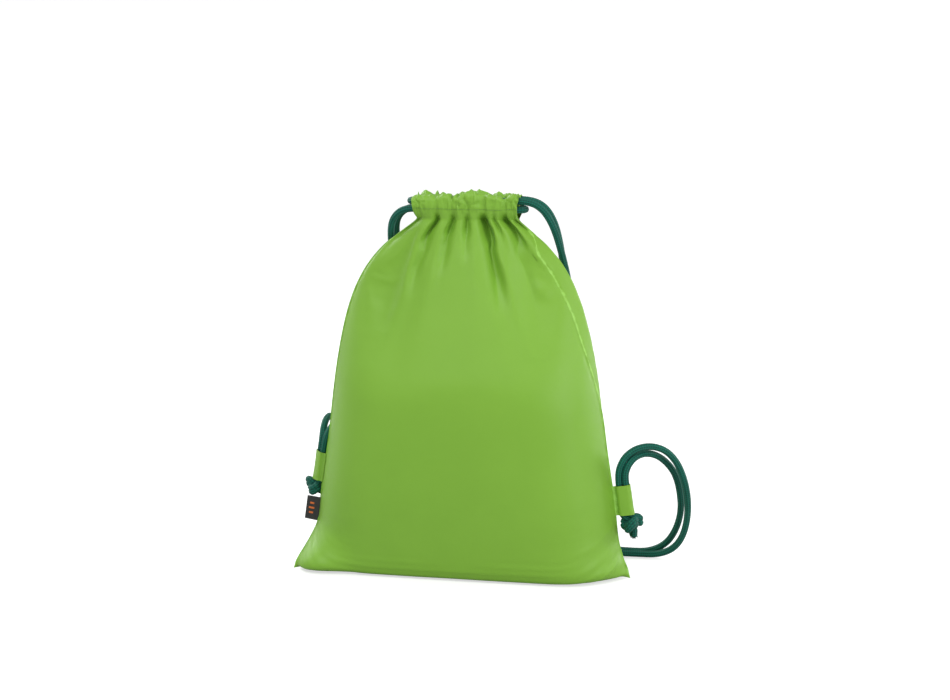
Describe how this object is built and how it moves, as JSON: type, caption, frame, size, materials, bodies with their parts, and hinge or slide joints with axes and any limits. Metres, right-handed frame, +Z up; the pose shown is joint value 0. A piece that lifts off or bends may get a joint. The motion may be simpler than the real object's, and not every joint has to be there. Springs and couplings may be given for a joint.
{
  "type": "drawstring bag",
  "caption": "Flat two-panel cloth sack with a gathered drawcord mouth; the cords double as shoulder straps and run to sewn side tabs, and a small label sits in a side seam.",
  "frame": {"origin": "on the surface that the bag stands on, under the middle of the bag, not counting its free cords", "axes": "+Z up, the front panel faces -Y, +X to the right seen from the front"},
  "size_m": [0.4052, 0.1693, 0.39],
  "materials": {
    "lime_cloth": "glossy woven taffeta",
    "green_cord": "braided cord",
    "sewing_thread": "satin thread",
    "label_cloth": "dense woven label",
    "label_thread": "woven thread"
  },
  "bodies": {
    "bag": {"back_panel": "lime_cloth", "base_seam_allowance": "lime_cloth", "front_panel": "lime_cloth", "left_back_strap": "green_cord", "left_cord_turn": "green_cord", "left_front_strap": "green_cord", "left_seam_allowance": "lime_cloth", "right_back_strap": "green_cord", "right_cord_turn": "green_cord", "right_front_strap": "green_cord", "right_seam_allowance": "lime_cloth"},
    "front_mouth": {"front_channel": "lime_cloth", "front_channel_stitching": "sewing_thread", "right_cord_front_run": "green_cord", "left_cord_front_run": "green_cord"},
    "back_mouth": {"back_channel": "lime_cloth", "back_channel_stitching": "sewing_thread", "right_cord_back_run": "green_cord", "left_cord_back_run": "green_cord"},
    "left_anchor": {"left_tab": "lime_cloth", "left_tab_stitching": "sewing_thread", "left_cord_knot": "green_cord"},
    "right_anchor": {"right_tab": "lime_cloth", "right_tab_stitching": "sewing_thread", "right_cord_knot": "green_cord"},
    "seam_label": {"label": "label_cloth", "label_motif": "label_thread"}
  },
  "joints": [
    {"name": "front_mouth_tilt", "type": "hinge", "parent": "bag", "child": "front_mouth", "pos_m": [0.0025, -0.0095, 0.3679], "axis": [1, 0, 0], "range_deg": [0, 20]},
    {"name": "back_mouth_tilt", "type": "hinge", "parent": "bag", "child": "back_mouth", "pos_m": [0.0025, 0.0095, 0.3679], "axis": [1, 0, 0], "range_deg": [-20, 0]},
    {"name": "right_tab_swing", "type": "hinge", "parent": "bag", "child": "right_anchor", "pos_m": [0.1535, 0, 0.08], "axis": [-0.1478, 0, 0.989], "range_deg": [-25, 25]},
    {"name": "left_tab_swing", "type": "hinge", "parent": "bag", "child": "left_anchor", "pos_m": [-0.1505, 0, 0.1], "axis": [0.1478, 0, 0.989], "range_deg": [-3, 8]},
    {"name": "label_swing", "type": "hinge", "parent": "bag", "child": "seam_label", "pos_m": [-0.157, 0, 0.056], "axis": [0.1478, 0, 0.989], "range_deg": [-2, 40]}
  ],
  "couplings": [
    {"joint": "back_mouth_tilt", "follows": "front_mouth_tilt", "ratio": -1}
  ]
}
